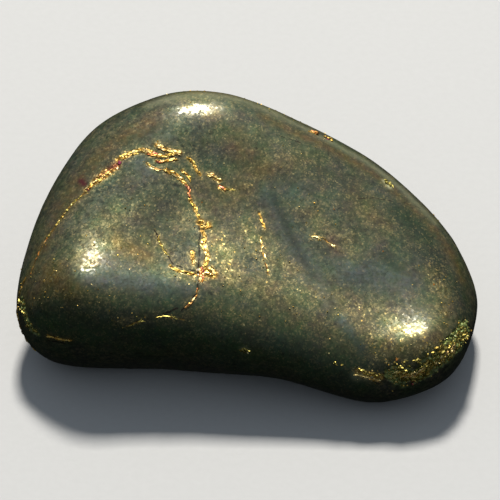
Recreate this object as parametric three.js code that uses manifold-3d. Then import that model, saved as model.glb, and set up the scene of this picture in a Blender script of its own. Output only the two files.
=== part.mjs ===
// A worn nugget of chalcopyrite: one solid, broad at its left end and drawn out to a low toe at the right.
// Lengths are millimetres. +X runs along the nugget, +Y to its back and +Z up from the face it rests on.
import * as THREE from "three";
import { mergeVertices } from "three/addons/utils/BufferGeometryUtils.js";
import Module from "manifold-3d";

// Every place on the skin is reached from this point along one direction.
const CORE = new THREE.Vector3(0, -1.5, 5.5);
const BASE_LEVEL = 0;

// Balls [x, y, z, radius] that the outer skin is drawn over.
const LOBES = [
  [-15.5, -5.5, 7.5, 7], // front left
  [-18.5, -5, 6.5, 6.5], // left end
  [-5, -6.5, 7, 7], // front middle
  [13.5, -11.5, 4.5, 4.5], // front right
  [16.5, -11.5, 5, 4], // toe, front
  [19, -10, 5.5, 4.5], // toe
  [20.5, -2, 4.5, 5], // right end
  [19.5, 2.5, 8, 3.5], // right shoulder, low
  [15.5, 5.5, 10.5, 3.5], // right shoulder, high
  [11.5, 9.5, 11, 4], // back rim
  [1, 12, 14.5, 5], // crown, right
  [-3.5, 12, 16.5, 5], // crown
  [-7, 11.5, 15, 6.5], // crown, left
  [-12, 10, 12, 7.5], // left back
  [-16, 3, 10, 7], // left flank
  [-6, 9, 8, 8], // heel
  [-14, 4, 7.5, 7.5], // heel, left
  [10, 4, 6, 7], // heel, right
];
// How tightly the skin follows the balls: a higher power leaves sharper edges between the worn faces.
const SKIN_POWER = 90;
const SKIN_SHARE = 20;
const SKIN_DETAIL = 15;

// Broad swells and hollows that push the skin near a point: [x, y, z, radius, push x, push y, push z].
const SWELLS = [
  [-8, -13, 2, 8.5, 0, 2, 0], // waist of the front, left part
  [3.5, -13, -0.5, 7, 0, 2, 0.5], // waist of the front, right part
  [9, -2.5, 13, 11, 0, 1, -1], // saddle between the dome and the toe
  [-14.5, -5.5, 14.5, 6, 0, -1, -1], // slope of the left dome
  [-5.5, 1, 17, 10, 0.5, 0, -1.5], // slope under the crown
  [-17.5, -7.5, 14, 4.5, -0.5, -0.5, 1], // brow at the left
  [19, -13, 11, 5, -0.5, 0, 0.5], // brow over the toe
  [15.5, -8, 11.5, 6.5, 1, -2, -1.5], // worn face behind the toe
  [3.5, 14, 10, 7, -0.5, -0.5, 0], // worn face of the back
  [-14, 13, 8, 5, 0, -0.5, 0], // worn face of the back, left
  [0.5, -9.5, 13, 4.5, -0.5, 0, 0], // middle of the front brow
];

// Marks on the open side lie where a viewer in front and above sees them, as [across, down] on a
// square of fine steps from its top left corner. The others are [bearing, elevation] in degrees,
// seen from the core point, with bearing 0 along +X.
const SIGHT_STEPS = 500;
const SIGHT_STEP = 0.109;
const SIGHT_TILT = THREE.MathUtils.degToRad(42);
const SIGHT_DISTANCE = 347;
const SIGHT_AIM = new THREE.Vector3(0.44, 1.87, 8.6);

// Furrows along seams and cracks: half width, depth (minus stands proud), and the path over the skin.
const FURROWS = [
  { half: 0.55, depth: 0.3, path: [[30, 275], [36, 258], [47, 237], [65, 213], [76, 200], [87, 189],
    [97, 179], [105, 174], [114, 166], [126, 155], [139, 150], [150, 154], [166, 152], [181, 153]] },
  { half: 0.55, depth: 0.35, path: [[147, 158], [156, 163], [168, 170], [184, 182], [190, 194],
    [196, 210], [201, 222], [206, 237], [204, 247], [207, 260], [208, 268], [201, 276], [200, 284],
    [196, 295], [189, 303], [186, 311]] }, // seam down the front
  { half: 0.4, depth: 0.45, path: [[199, 226], [200, 255], [201, 270], [199, 290], [190, 302]] },
  { half: 0.4, depth: 0.25, path: [[168, 170], [184, 157], [193, 164], [200, 174], [210, 178], [223, 180]] },
  { half: 0.35, depth: 0.3, path: [[156, 232], [162, 247], [168, 258], [175, 264], [188, 268], [199, 267]] },
  { half: 0.35, depth: 0.15, path: [[258, 213], [265, 226], [261, 237], [262, 251], [267, 269]] },
  { half: 2.2, depth: 0.12, path: [[282, 203], [290, 235], [300, 251], [333, 277], [362, 300]] }, // valley
  { half: 0.5, depth: -0.3, path: [[357, 375], [368, 379], [380, 382]] }, // ledge under the toe
  { half: 0.5, depth: -0.25, path: [[49, 337], [60, 339], [70, 340]] }, // ledge low on the left
  { half: 0.35, depth: -0.15, path: [[128, 323], [142, 323], [153, 318], [183, 318]] }, // thin rib
];
const FAR_FURROWS = [
  { half: 0.5, depth: 0.3, path: [[120, 40], [118, 34], [112, 24], [108, 12], [102, 2]] }, // back seam
  { half: 0.45, depth: 0.3, path: [[112, 24], [98, 20], [82, 18], [68, 12]] }, // its branch
  { half: 0.45, depth: 0.25, path: [[-172, 12], [-169, 3], [-164, -6]] }, // seam round the left end
];

// Single pits and chips: place, radius, depth (minus stands proud).
const PITS = [
  [84, 185, 0.8, 0.55], // dark pit on the left seam
  [388, 184, 1, 0.6], // chip in the right shoulder
  [314, 134, 0.8, 0.5], // notch in the back rim
  [327, 141, 0.8, 0.45], // notch in the back rim
  [354, 337, 0.7, 0.35],
  [415, 344, 0.7, 0.35],
  [96, 343, 0.6, 0.35],
  [245, 352, 0.9, -0.4], // knob on the front
];
const FAR_PITS = [
  [136, 5, 0.9, 0.5],
  [88, 6, 1.1, 0.5],
  [35, 13, 0.8, 0.4],
];

// Rough crystalline patches: grains are scattered along the path, some standing proud and some lost.
const PATCHES = [
  { reach: 1.5, grains: 34, path: [[391, 382], [407, 383], [422, 385], [437, 378], [446, 360], [460, 344]] },
  { reach: 1.1, grains: 14, path: [[24, 312], [22, 286], [29, 264]] },
];
const FAR_PATCHES = [
  { reach: 1.6, grains: 22, path: [[63, 0], [72, -3], [83, -5]] },
];
const GRAIN_RADIUS = [0.5, 0.95];
const GRAIN_DEPTH = [-0.25, 0.4];
const GRAIN_SEED = 7;

// Shares of a mark's half width or radius at which its floor ends and its rim lies.
const FURROW_FOOT = 1.6;
const PIT_FLOOR = 0.35;
const PIT_RIM = 1.25;

// Mesh: edges are split until they are no longer than these.
const START_DETAIL = 10;
const EDGE_PLAIN = 1.7;
const EDGE_FINE = 0.71;
const FINE_MARGIN = 0.35;
const WIDE_FURROW = 1;
const SPLIT_ROUNDS = 4;

function direction([bearing, elevation]) {
  const polar = THREE.MathUtils.degToRad(90 - elevation);
  const round = THREE.MathUtils.degToRad(bearing);
  return new THREE.Vector3(
    Math.sin(polar) * Math.cos(round),
    Math.sin(polar) * Math.sin(round),
    Math.cos(polar),
  );
}

// Unit ball as plain lists of directions and triangles.
function unitBall(detail) {
  const ball = new THREE.IcosahedronGeometry(1, detail);
  ball.deleteAttribute("normal");
  ball.deleteAttribute("uv");
  const merged = mergeVertices(ball, 1e-5);
  const place = merged.getAttribute("position");
  const dirs = [];
  for (let i = 0; i < place.count; i++) {
    dirs.push(new THREE.Vector3().fromBufferAttribute(place, i).normalize());
  }
  const triangles = [];
  for (let i = 0; i < merged.index.count; i += 3) {
    triangles.push([merged.index.getX(i), merged.index.getX(i + 1), merged.index.getX(i + 2)]);
  }
  return { dirs, triangles };
}

// Faces of the hull over the lobes: a normal and its distance from the core.
const HULL = unitBall(SKIN_DETAIL).dirs.map((normal) => {
  let distance = 0;
  for (const [x, y, z, radius] of LOBES) {
    const reach = new THREE.Vector3(x, y, z).sub(CORE).dot(normal) + radius;
    distance = Math.max(distance, reach);
  }
  return { normal, distance };
});

// Smooth skin over the lobes, then the swells.
function skin(dir) {
  const nearness = HULL.map((face) => Math.max(face.normal.dot(dir), 0) / face.distance);
  const nearest = Math.max(...nearness);
  let sum = 0;
  for (const value of nearness) {
    sum += (value / nearest) ** SKIN_POWER;
  }
  const radius = 1 / (nearest * (sum / SKIN_SHARE) ** (1 / SKIN_POWER));
  const point = CORE.clone().addScaledVector(dir, radius);
  const pushed = point.clone();
  for (const [x, y, z, reach, ...push] of SWELLS) {
    const away = point.distanceToSquared(new THREE.Vector3(x, y, z));
    pushed.addScaledVector(new THREE.Vector3(...push), Math.exp(-away / reach ** 2));
  }
  return pushed;
}

const sightBall = unitBall(SKIN_DETAIL);
const sightSkin = sightBall.dirs.map(skin);
const sightUp = new THREE.Vector3(0, Math.sin(SIGHT_TILT), Math.cos(SIGHT_TILT));
const sightBack = new THREE.Vector3(0, -Math.cos(SIGHT_TILT), Math.sin(SIGHT_TILT));
const eye = SIGHT_AIM.clone().addScaledVector(sightBack, SIGHT_DISTANCE);

// Place on the skin that the viewer sees at [across, down].
function sighted([across, down]) {
  const target = SIGHT_AIM.clone().addScaledVector(sightUp, (SIGHT_STEPS / 2 - down) * SIGHT_STEP);
  target.x += (across - SIGHT_STEPS / 2) * SIGHT_STEP;
  const ray = new THREE.Ray(eye, target.sub(eye).normalize());
  const hit = new THREE.Vector3();
  const dir = new THREE.Vector3();
  let nearest = Infinity;
  for (const corners of sightBall.triangles) {
    const face = corners.map((i) => sightSkin[i]);
    if (!ray.intersectTriangle(...face, true, hit)) continue;
    if (hit.distanceTo(eye) > nearest) continue;
    nearest = hit.distanceTo(eye);
    THREE.Triangle.getInterpolation(hit, ...face, ...corners.map((i) => sightBall.dirs[i]), dir);
  }
  if (nearest === Infinity) throw new Error(`a mark at ${across}, ${down} misses the nugget`);
  return skin(dir.normalize());
}

// Place on the skin at [bearing, elevation].
const turned = (place) => skin(direction(place));

function distanceToPath(point, path) {
  const nearest = new THREE.Vector3();
  let least = Infinity;
  for (let i = 1; i < path.length; i++) {
    new THREE.Line3(path[i - 1], path[i]).closestPointToPoint(point, true, nearest);
    least = Math.min(least, nearest.distanceTo(point));
  }
  return least;
}

// Fixed random numbers between 0 and 1.
const RANDOM_STEP = 16807;
const RANDOM_RANGE = 2147483647;
function randomFrom(seed) {
  let state = seed;
  return () => {
    state = (state * RANDOM_STEP) % RANDOM_RANGE;
    return state / RANDOM_RANGE;
  };
}

// Grains of one patch: each is a small pit, or a small lump where its depth is below zero.
function grainsOf({ reach, grains, path }, random) {
  const between = ([low, high]) => low + (high - low) * random();
  return Array.from({ length: grains }, () => {
    const along = random() * (path.length - 1);
    const start = Math.floor(along);
    const centre = path[start].clone().lerp(path[start + 1], along - start);
    const offset = new THREE.Vector3(random() - 0.5, random() - 0.5, random() - 0.5);
    const dir = centre.addScaledVector(offset, 2 * reach).sub(CORE).normalize();
    return { centre: skin(dir), radius: between(GRAIN_RADIUS), depth: between(GRAIN_DEPTH) };
  });
}

const random = randomFrom(GRAIN_SEED);
const laid = (marks, place) => marks.map((mark) => ({ ...mark, path: mark.path.map(place) }));
const furrows = [...laid(FURROWS, sighted), ...laid(FAR_FURROWS, turned)];
const patches = [...laid(PATCHES, sighted), ...laid(FAR_PATCHES, turned)];
const pitAt = (place) => ([first, second, radius, depth]) => {
  return { centre: place([first, second]), radius, depth };
};
const single = [...PITS.map(pitAt(sighted)), ...FAR_PITS.map(pitAt(turned))];
const pits = [...single, ...patches.flatMap((patch) => grainsOf(patch, random))];

// Height of the relief over the skin, and whether the mesh has to be fine there.
// The deepest cut and the highest lump count, so that marks that cross don't pile up.
function relief(point) {
  let cut = 0;
  let proud = 0;
  let fine = false;
  const add = (height) => {
    cut = Math.min(cut, height);
    proud = Math.max(proud, height);
  };
  for (const { half, depth, path } of furrows) {
    const away = distanceToPath(point, path);
    add(-depth * (1 - THREE.MathUtils.smoothstep(away, 0, FURROW_FOOT * half)));
    fine ||= half < WIDE_FURROW && away < half + FINE_MARGIN;
  }
  for (const { centre, radius, depth } of pits) {
    const away = centre.distanceTo(point);
    add(-depth * (1 - THREE.MathUtils.smoothstep(away, PIT_FLOOR * radius, PIT_RIM * radius)));
    fine ||= away < radius + FINE_MARGIN;
  }
  return { height: cut + proud, fine };
}

// Splits long edges at their middle, on both sides at once, so that the surface stays closed.
function splitLongEdges(mesh, points) {
  const middles = new Map();
  const middleOf = (a, b) => {
    const key = a < b ? `${a},${b}` : `${b},${a}`;
    if (!middles.has(key)) {
      const dir = mesh.dirs[a].clone().add(mesh.dirs[b]).normalize();
      const point = skin(dir);
      const limit = relief(point).fine ? EDGE_FINE : EDGE_PLAIN;
      const long = points[a].distanceTo(points[b]) > limit;
      middles.set(key, long ? mesh.dirs.push(dir) - 1 : -1);
      if (long) points.push(point);
    }
    return middles.get(key);
  };
  const made = [];
  for (const [a, b, c] of mesh.triangles) {
    const corners = [a, b, c];
    const mids = [middleOf(a, b), middleOf(b, c), middleOf(c, a)];
    const count = mids.filter((mid) => mid >= 0).length;
    if (count === 0) made.push(corners);
    if (count === 3) {
      made.push([a, mids[0], mids[2]], [mids[0], b, mids[1]], [mids[2], mids[1], c], mids);
    }
    if (count === 1) {
      const k = mids.findIndex((mid) => mid >= 0);
      const [p, q, r] = [corners[k], corners[(k + 1) % 3], corners[(k + 2) % 3]];
      made.push([p, mids[k], r], [mids[k], q, r]);
    }
    if (count === 2) {
      const k = mids.findIndex((mid) => mid < 0);
      const [p, q, r] = [corners[k], corners[(k + 1) % 3], corners[(k + 2) % 3]];
      const [near, far] = [mids[(k + 1) % 3], mids[(k + 2) % 3]];
      made.push([near, r, far]);
      const straight = points[p].distanceTo(points[near]) < points[q].distanceTo(points[far]);
      if (straight) made.push([p, q, near], [p, near, far]);
      else made.push([p, q, far], [q, near, far]);
    }
  }
  mesh.triangles = made;
}

const ball = unitBall(START_DETAIL);
const points = ball.dirs.map(skin);
for (let round = 0; round < SPLIT_ROUNDS; round++) {
  splitLongEdges(ball, points);
}

const wasm = await Module();
wasm.setup();

// The skin with its relief, which stands square to it.
function closedSolid() {
  const smooth = new THREE.BufferGeometry().setFromPoints(points).setIndex(ball.triangles.flat());
  smooth.computeVertexNormals();
  const vertProperties = new Float32Array(3 * points.length);
  points.forEach((point, i) => {
    const normal = new THREE.Vector3().fromBufferAttribute(smooth.getAttribute("normal"), i);
    point.clone().addScaledVector(normal, relief(point).height).toArray(vertProperties, 3 * i);
  });
  const triVerts = new Uint32Array(ball.triangles.flat());
  return new wasm.Manifold(new wasm.Mesh({ numProp: 3, vertProperties, triVerts }));
}

// The underside is cut flat where it rests, and the nugget is centred over its frame.
function restingSolid() {
  const cut = closedSolid().trimByPlane([0, 0, 1], BASE_LEVEL);
  const { min, max } = cut.boundingBox();
  return cut.translate([-(min[0] + max[0]) / 2, -(min[1] + max[1]) / 2, -min[2]]);
}

function toGeometry(solid) {
  const { vertProperties, triVerts } = solid.getMesh();
  const geometry = new THREE.BufferGeometry();
  geometry.setAttribute("position", new THREE.BufferAttribute(new Float32Array(vertProperties), 3));
  geometry.setIndex(new THREE.BufferAttribute(new Uint32Array(triVerts), 1));
  geometry.computeVertexNormals();
  return geometry;
}

const tarnishedOre = new THREE.MeshStandardMaterial({
  name: "tarnished_chalcopyrite",
  color: 0x6b6a4c,
  metalness: 0.8,
  roughness: 0.45,
});
const nugget = new THREE.Mesh(toGeometry(restingSolid()), tarnishedOre);
nugget.name = "chalcopyrite_nugget";

const part = new THREE.Group();
part.name = "chalcopyrite_specimen";
part.add(nugget);

export default part;
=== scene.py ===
"""Chalcopyrite specimen: a worn nugget of tarnished copper ore with brass-yellow seams.

Form and marks are worked out in millimetres. The row's frame is in metres, +X along the nugget, +Z up.
"""

import math

import bmesh
import bpy
import numpy as np
from bpy.props import FloatProperty, FloatVectorProperty, IntProperty, PointerProperty
from bpy.types import Operator, Panel, PropertyGroup
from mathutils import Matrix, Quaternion, Vector, noise
from mathutils.bvhtree import BVHTree


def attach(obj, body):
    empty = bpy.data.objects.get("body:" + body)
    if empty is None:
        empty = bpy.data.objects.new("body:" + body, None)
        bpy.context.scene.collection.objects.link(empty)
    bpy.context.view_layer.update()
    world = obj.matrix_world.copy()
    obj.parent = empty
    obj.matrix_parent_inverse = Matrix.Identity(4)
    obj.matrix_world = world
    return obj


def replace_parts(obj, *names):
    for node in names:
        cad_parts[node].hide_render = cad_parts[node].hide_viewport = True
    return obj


bl_info = {
    "name": "Chalcopyrite specimen",
    "version": (1, 0, 0),
    "blender": (4, 5, 0),
    "location": "3D View > Sidebar > Nugget",
    "description": "Builds a worn chalcopyrite nugget over its packed solid",
    "category": "Object",
}

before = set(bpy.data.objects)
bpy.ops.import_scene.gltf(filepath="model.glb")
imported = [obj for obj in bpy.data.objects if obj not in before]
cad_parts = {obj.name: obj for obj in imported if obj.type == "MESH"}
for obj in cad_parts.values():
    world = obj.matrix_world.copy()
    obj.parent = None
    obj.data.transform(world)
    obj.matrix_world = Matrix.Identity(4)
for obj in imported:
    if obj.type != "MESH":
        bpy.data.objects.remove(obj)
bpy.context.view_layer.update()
NODE = "chalcopyrite_nugget"
BODY = "root"
MM = 0.001
FLOOR_SIDE = 1.5  # metres from the middle of the floor to its edge

# -------------------- form of the stone

# Point that every place on the skin is measured from, and the balls the skin is drawn over: x, y, z, radius.
CORE = np.array([0, -1.5, 5.5])
LOBES = np.array([
    [-15.5, -5.5, 7.5, 7],  # front left
    [-18.5, -5, 6.5, 6.5],  # left end
    [-5, -6.5, 7, 7],  # front middle
    [13.5, -11.5, 4.5, 4.5],  # front right
    [16.5, -11.5, 5, 4],  # toe, front
    [19, -10, 5.5, 4.5],  # toe
    [20.5, -2, 4.5, 5],  # right end
    [19.5, 2.5, 8, 3.5],  # right shoulder, low
    [15.5, 5.5, 10.5, 3.5],  # right shoulder, high
    [11.5, 9.5, 11, 4],  # back rim
    [1, 12, 14.5, 5],  # crown, right
    [-3.5, 12, 16.5, 5],  # crown
    [-7, 11.5, 15, 6.5],  # crown, left
    [-12, 10, 12, 7.5],  # left back
    [-16, 3, 10, 7],  # left flank
    [-6, 9, 8, 8],  # heel
    [-14, 4, 7.5, 7.5],  # heel, left
    [10, 4, 6, 7],  # heel, right
])
SKIN_POWER = 90  # how sharply the skin turns from ball to ball
SKIN_SHARE = 20  # how many of the hull's directions share each turn
HULL_LEVEL, SKIN_LEVEL = 5, 7  # levels of the balls that the hull and the skin's mesh start from
CHUNK = 4000  # directions worked out at a time
# Broad swells and hollows that push the skin near a point: x, y, z, radius, push along x, y and z.
SWELLS = np.array([
    [-8, -13, 2, 8.5, 0, 2, 0],  # waist of the front, left part
    [3.5, -13, -0.5, 7, 0, 2, 0.5],  # waist of the front, right part
    [9, -2.5, 13, 11, 0, 1, -1],  # saddle between the dome and the toe
    [-14.5, -5.5, 14.5, 6, 0, -1, -1],  # slope of the left dome
    [-5.5, 1, 17, 10, 0.5, 0, -1.5],  # slope under the crown
    [-17.5, -7.5, 14, 4.5, -0.5, -0.5, 1],  # brow at the left
    [19, -13, 11, 5, -0.5, 0, 0.5],  # brow over the toe
    [15.5, -8, 11.5, 6.5, 1, -2, -1.5],  # worn face behind the toe
    [3.5, 14, 10, 7, -0.5, -0.5, 0],  # worn face of the back
    [-14, 13, 8, 5, 0, -0.5, 0],  # worn face of the back, left
    [0.5, -9.5, 13, 4.5, -0.5, 0, 0],  # middle of the front brow
])

# -------------------- camera

PICTURE = 500  # side of the camera's frame, in its own pixels
ELEVATION = math.radians(42)
FIELD_OF_VIEW = math.radians(9)
CAMERA_DISTANCE = 347.0
CAMERA_NEAR = 0.01  # metres
AIM = np.array([0.22, 0.8, 8.6])
IN_VIEW = -0.05  # a normal's part along the view, below which its point is in view
STEEP = -0.25  # the same, below which a place is also slid along the skin

# -------------------- marks on the skin
# Marks on the side towards the camera are placed in its frame's pixels, the others by
# bearing and elevation in degrees from the core point. Widths and depths are millimetres.

BRASS, GOLD, CREAM, ORANGE, COPPER = 0.1, 0.35, 0.55, 0.78, 1.0  # tints of fresh ore

VEINS = [  # half width, depth (below zero stands proud), blades per mm, tint, path in the frame
    (0.06, 0.03, 1.5, ORANGE, [(31, 273), (36, 259), (47, 238)]),
    (0.1, 0.05, 2.5, BRASS, [(47, 238), (56, 226), (65, 213), (73, 203), (85, 193)]),
    (0.2, 0.08, 3.0, GOLD, [(86, 190), (93, 184), (100, 180)]),
    (0.4, 0.12, 2.2, BRASS, [(96, 181), (102, 177), (109, 172), (116, 166)]),
    (0.36, 0.05, 16.0, ORANGE - 0.12, [(101, 176), (104, 173), (107, 171)]),
    (0.3, 0.1, 14.0, GOLD,
     [(118, 160), (124, 157), (129, 154), (135, 152), (142, 150), (148, 152), (153, 154)]),
    (0.16, -0.06, 12.0, CREAM, [(134, 152), (142, 150), (149, 153)]),
    (0.2, 0.1, 9.0, ORANGE, [(148, 153), (157, 155)]),
    (0.18, 0.1, 10.0, GOLD, [(157, 156), (166, 156), (175, 154), (181, 153)]),
    (0.24, -0.06, 16.0, CREAM, [(157, 145), (162, 148), (167, 150), (172, 151), (180, 153)]),
    (0.16, 0.1, 6.0, ORANGE, [(156, 161), (162, 162)]),
    (0.15, 0.1, 6.0, GOLD, [(162, 162), (169, 160), (176, 160)]),
    (0.13, 0.08, 6.0, CREAM, [(147, 163), (152, 167), (158, 170)]),
    (0.2, 0.1, 6.5, GOLD, [(166, 170), (174, 174), (181, 179), (185, 183)]),
    (0.13, -0.05, 8.0, CREAM, [(172, 173), (182, 180)]),
    (0.14, 0.08, 8.0, GOLD, [(182, 171), (187, 175), (190, 179)]),
    (0.17, 0.08, 7.0, GOLD, [(188, 158), (192, 161), (195, 167), (197, 170), (200, 175)]),
    (0.22, 0.06, 7.0, CREAM, [(209, 175), (214, 176), (220, 181)]),
    (0.22, 0.06, 14.0, ORANGE, [(220, 187), (225, 189)]),
    (0.07, 0.03, 3.0, BRASS, [(224, 189), (233, 190)]),
    (0.13, 0.12, 3.5, ORANGE, [(185, 183), (189, 188), (189, 194), (192, 202)]),
    (0.15, 0.1, 6.5, GOLD, [(190, 200), (194, 206), (196, 212), (199, 218)]),
    (0.42, 0.14, 8.0, GOLD, [(200, 222), (204, 226), (208, 225)]),
    (0.22, 0.12, 12.0, GOLD, [(202, 230), (205, 237), (203, 245), (206, 251), (208, 257), (205, 266)]),
    (0.14, -0.04, 8.0, CREAM, [(205, 244), (207, 256)]),
    (0.55, 0.12, 6.0, GOLD, [(202, 272), (208, 272), (213, 274)]),
    (0.2, -0.06, 12.0, ORANGE, [(202, 268), (202, 276), (201, 281)]),
    (0.14, -0.04, 8.0, CREAM, [(212, 267), (214, 275)]),
    (0.08, 0.06, 4.0, ORANGE, [(198, 288), (196, 296), (192, 302), (186, 307)]),
    (0.1, 0.06, 3.0, GOLD, [(259, 213), (262, 221), (265, 229)]),
    (0.07, 0.04, 2.0, CREAM, [(261, 237), (262, 251), (265, 258)]),
    (0.06, 0.04, 1.5, ORANGE, [(266, 264), (269, 275)]),
    (0.09, 0.06, 5.0, CREAM, [(313, 236), (322, 238), (328, 242), (335, 247)]),
    (0.14, 0.05, 8.0, GOLD, [(310, 132), (315, 134)]),
    (0.12, -0.1, 12.0, CREAM, [(356, 375), (364, 377), (372, 379), (380, 381)]),
    (0.3, -0.03, 8.0, BRASS, [(358, 371), (370, 374), (382, 377)]),
    (0.08, -0.1, 8.0, GOLD, [(49, 336), (57, 338), (64, 340), (71, 340)]),
    (0.07, -0.05, 3.0, BRASS, [(127, 326), (134, 324), (141, 321)]),
    (0.07, -0.05, 2.0, BRASS, [(155, 318), (165, 316), (175, 318), (184, 320)]),
    (0.08, 0.05, 3.5, BRASS, [(157, 236), (163, 249), (168, 255)]),
    (0.14, 0.05, 7.0, GOLD, [(170, 266), (178, 271), (188, 273), (196, 275)]),
    (0.2, -0.04, 6.0, CREAM, [(192, 252), (194, 264)]),
]
CRACKS = [  # half width, depth, path in the frame: open and dark
    (0.08, 0.2,
     [(199, 226), (200, 233), (199, 245), (199, 262), (198, 280), (197, 292), (191, 302), (182, 310)]),
    (0.07, 0.2,
     [(154, 229), (158, 238), (162, 247), (167, 253), (171, 261), (176, 266), (186, 269), (198, 271)]),
    (0.07, 0.2, [(149, 158), (160, 158), (172, 157), (182, 157)]),
    (0.05, 0.1, [(355, 199), (373, 198), (390, 201), (401, 202), (420, 208)]),
    (0.06, 0.12, [(277, 135), (288, 138), (300, 143)]),
    (0.12, 0.2, [(163, 314), (170, 312), (177, 308)]),
    (0.08, 0.15, [(47, 340), (58, 342), (72, 344)]),
]
GRANULAR = [  # half width, path in the frame: rough crystalline ground that was never worn smooth
    (1.0, [(394, 374), (406, 378), (416, 377), (426, 371), (436, 363), (446, 354), (455, 345), (466, 331)]),
    (0.35, [(444, 344), (456, 332), (466, 322)]),
    (0.45, [(22, 300), (24, 312), (29, 324), (36, 333)]),
]
SHARP = [  # half width, blades per mm, tint, path in the frame: stray blades on that rough ground
    (1.0, 26.0, BRASS, [(394, 374), (406, 377), (416, 376), (426, 370), (436, 363), (446, 354), (466, 331)]),
    (0.5, 16.0, CREAM, [(394, 374), (410, 376), (424, 370), (440, 360), (454, 347)]),
    (0.25, 4.0, COPPER, [(410, 383), (414, 381)]),
    (0.8, 6.0, BRASS, [(396, 366), (420, 362), (442, 346)]),
    (0.7, 3.5, BRASS, [(22, 300), (24, 312), (29, 324), (36, 333)]),
    (0.3, 9.0, BRASS, [(385, 181), (391, 187)]),
    (0.2, 12.0, ORANGE, [(311, 132), (317, 134)]),
    (0.2, 10.0, GOLD, [(324, 137), (332, 141)]),
    (0.35, 12.0, BRASS, [(241, 349), (249, 351)]),
    (0.2, 6.0, BRASS, [(334, 363), (343, 365)]),
]
PITS = [  # frame x, y, radius, depth (below zero stands proud)
    (84, 185, 0.5, 0.4),
    (388, 184, 0.55, 0.35),
    (314, 133, 0.4, 0.25),
    (328, 140, 0.4, 0.3),
    (352, 336, 0.32, 0.15),
    (414, 344, 0.32, 0.15),
    (342, 320, 0.5, 0.08),
    (245, 351, 0.7, -0.5),
    (338, 364, 0.3, -0.12),
]
GRAZED = [  # frame x, y, radius, height: worn skin that is still finely pitted
    (90, 265, 0.9, 0.05),
    (98, 254, 0.6, 0.03),
    (446, 286, 1.6, 0.07),
    (450, 314, 1.6, 0.08),
    (405, 330, 1.2, 0.012),
    (60, 280, 1.4, 0.02),
    (425, 235, 1.4, 0.02),
]
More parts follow.
